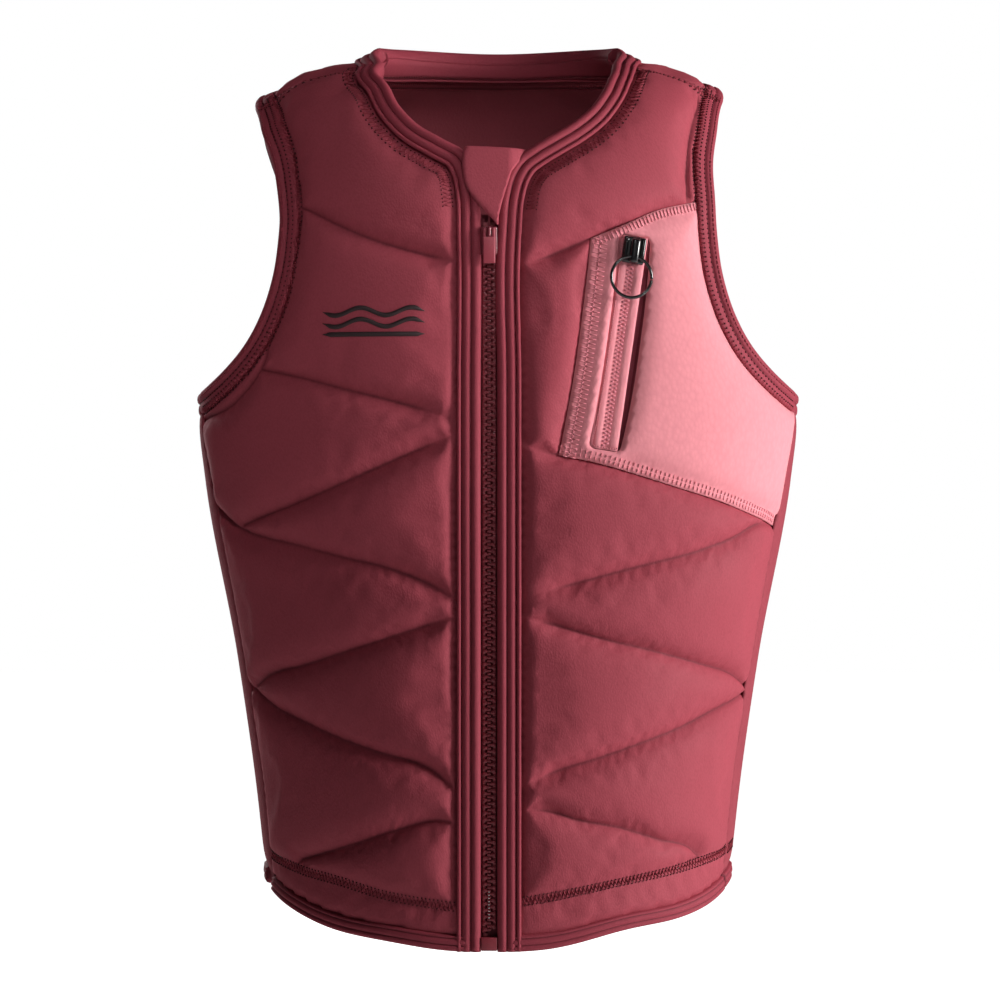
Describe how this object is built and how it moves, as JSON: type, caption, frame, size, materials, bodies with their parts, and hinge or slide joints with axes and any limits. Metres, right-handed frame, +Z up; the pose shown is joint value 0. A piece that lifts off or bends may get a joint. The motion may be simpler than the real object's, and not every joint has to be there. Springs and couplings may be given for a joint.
{
  "type": "life jacket",
  "caption": "Sleeveless front-zip impact vest with quilted foam panels, bound edges, zip garage flap and a zipped chest pocket with a ring pull.",
  "frame": {"origin": "on the wearer's body axis, level with the lowest point of the front hem", "axes": "+Z up the body, -Y forward through the front zip, +X to the wearer's left"},
  "size_m": [0.4006, 0.2297, 0.5934],
  "materials": {
    "neoprene_red": "fine knit laminated on neoprene, matt with a soft sheen",
    "neoprene_pink": "fine knit laminated on neoprene, matt",
    "lining": "smooth knit lining",
    "stretch_side": "stretch knit on thin neoprene",
    "binding": "stretch binding tape",
    "foam": "closed cell foam",
    "zip_tape": "woven zip tape",
    "zip_teeth": "moulded acetal",
    "slider_red": "satin enamel",
    "pull_red": "satin moulded",
    "pocket_tape": "woven tape",
    "pocket_teeth": "moulded",
    "black_metal": "gloss black enamel"
  },
  "bodies": {
    "back": {"back_armhole_bindings": "binding", "back_foam_blade": "foam", "back_foam_lumbar": "foam", "back_foam_rib": "foam", "back_foam_shoulder": "foam", "back_foam_spine": "foam", "back_foam_tail": "foam", "back_foam_waist": "foam", "back_hem_binding": "binding", "back_lining": "lining", "back_neck_binding": "binding", "back_shell": "neoprene_red", "left_side_panel": "stretch_side", "right_side_panel": "stretch_side"},
    "left_front": {"left_foam_chest": "foam", "left_foam_hem": "foam", "left_foam_hip": "foam", "left_foam_lower_belly": "foam", "left_foam_shoulder": "foam", "left_foam_upper_belly": "foam", "left_foam_waist": "foam", "left_front_armhole_binding": "binding", "left_front_binding": "binding", "left_front_hem_binding": "binding", "left_front_lining": "lining", "left_front_piping": "binding", "left_front_shell": "neoprene_red", "left_zip_tape": "zip_tape", "left_zip_teeth": "zip_teeth", "left_zip_top_stop": "zip_teeth", "pocket_bag": "lining", "pocket_panel": "neoprene_pink", "pocket_zip_tapes": "pocket_tape", "pocket_zip_teeth": "pocket_teeth", "pocket_zip_welt": "pocket_tape", "zip_retainer_box": "zip_teeth"},
    "right_front": {"right_foam_chest": "foam", "right_foam_hem": "foam", "right_foam_hip": "foam", "right_foam_lower_belly": "foam", "right_foam_rib": "foam", "right_foam_shoulder": "foam", "right_foam_upper_belly": "foam", "right_foam_waist": "foam", "right_front_armhole_binding": "binding", "right_front_binding": "binding", "right_front_hem_binding": "binding", "right_front_lining": "lining", "right_front_piping": "binding", "right_front_shell": "neoprene_red", "right_zip_tape": "zip_tape", "right_zip_teeth": "zip_teeth", "right_zip_top_stop": "zip_teeth", "zip_insert_pin": "zip_teeth"},
    "main_slider": {"main_slider": "slider_red"},
    "main_pull": {"main_pull": "pull_red"},
    "pocket_slider": {"pocket_slider": "black_metal"},
    "pocket_ring": {"pocket_ring": "black_metal"},
    "garage_flap": {"garage_flap": "neoprene_red"}
  },
  "joints": [
    {"name": "left_front_open", "type": "hinge", "parent": "back", "child": "left_front", "pos_m": [0.19, 0.01, 0.2], "axis": [0, 0, 1], "range_deg": [0, 28]},
    {"name": "right_front_open", "type": "hinge", "parent": "back", "child": "right_front", "pos_m": [-0.19, 0.01, 0.2], "axis": [0, 0, 1], "range_deg": [-28, 0]},
    {"name": "main_slider_travel", "type": "slide", "parent": "left_front", "child": "main_slider", "axis": [0, 0, -1], "range_m": [0, 0.424]},
    {"name": "main_pull_flip", "type": "hinge", "parent": "main_slider", "child": "main_pull", "pos_m": [-0.0056, -0.1176, 0.4565], "axis": [-1, 0, 0], "range_deg": [0, 140]},
    {"name": "pocket_slider_travel", "type": "slide", "parent": "left_front", "child": "pocket_slider", "axis": [-0.143, -0.0389, -0.989], "range_m": [0, 0.104]},
    {"name": "pocket_ring_swing", "type": "hinge", "parent": "pocket_slider", "child": "pocket_ring", "pos_m": [0.08649, -0.11198, 0.4402], "axis": [-0.969, -0.1978, 0.1479], "range_deg": [0, 150]},
    {"name": "garage_flap_lift", "type": "hinge", "parent": "left_front", "child": "garage_flap", "pos_m": [-0.0006, -0.1194, 0.458], "axis": [0.1405, 0.2018, 0.9693], "range_deg": [0, 100]}
  ],
  "couplings": [
    {"joint": "right_front_open", "follows": "left_front_open", "ratio": -1},
    {"joint": "main_slider_travel", "follows": "left_front_open", "m_per_rad": 0.8671}
  ]
}
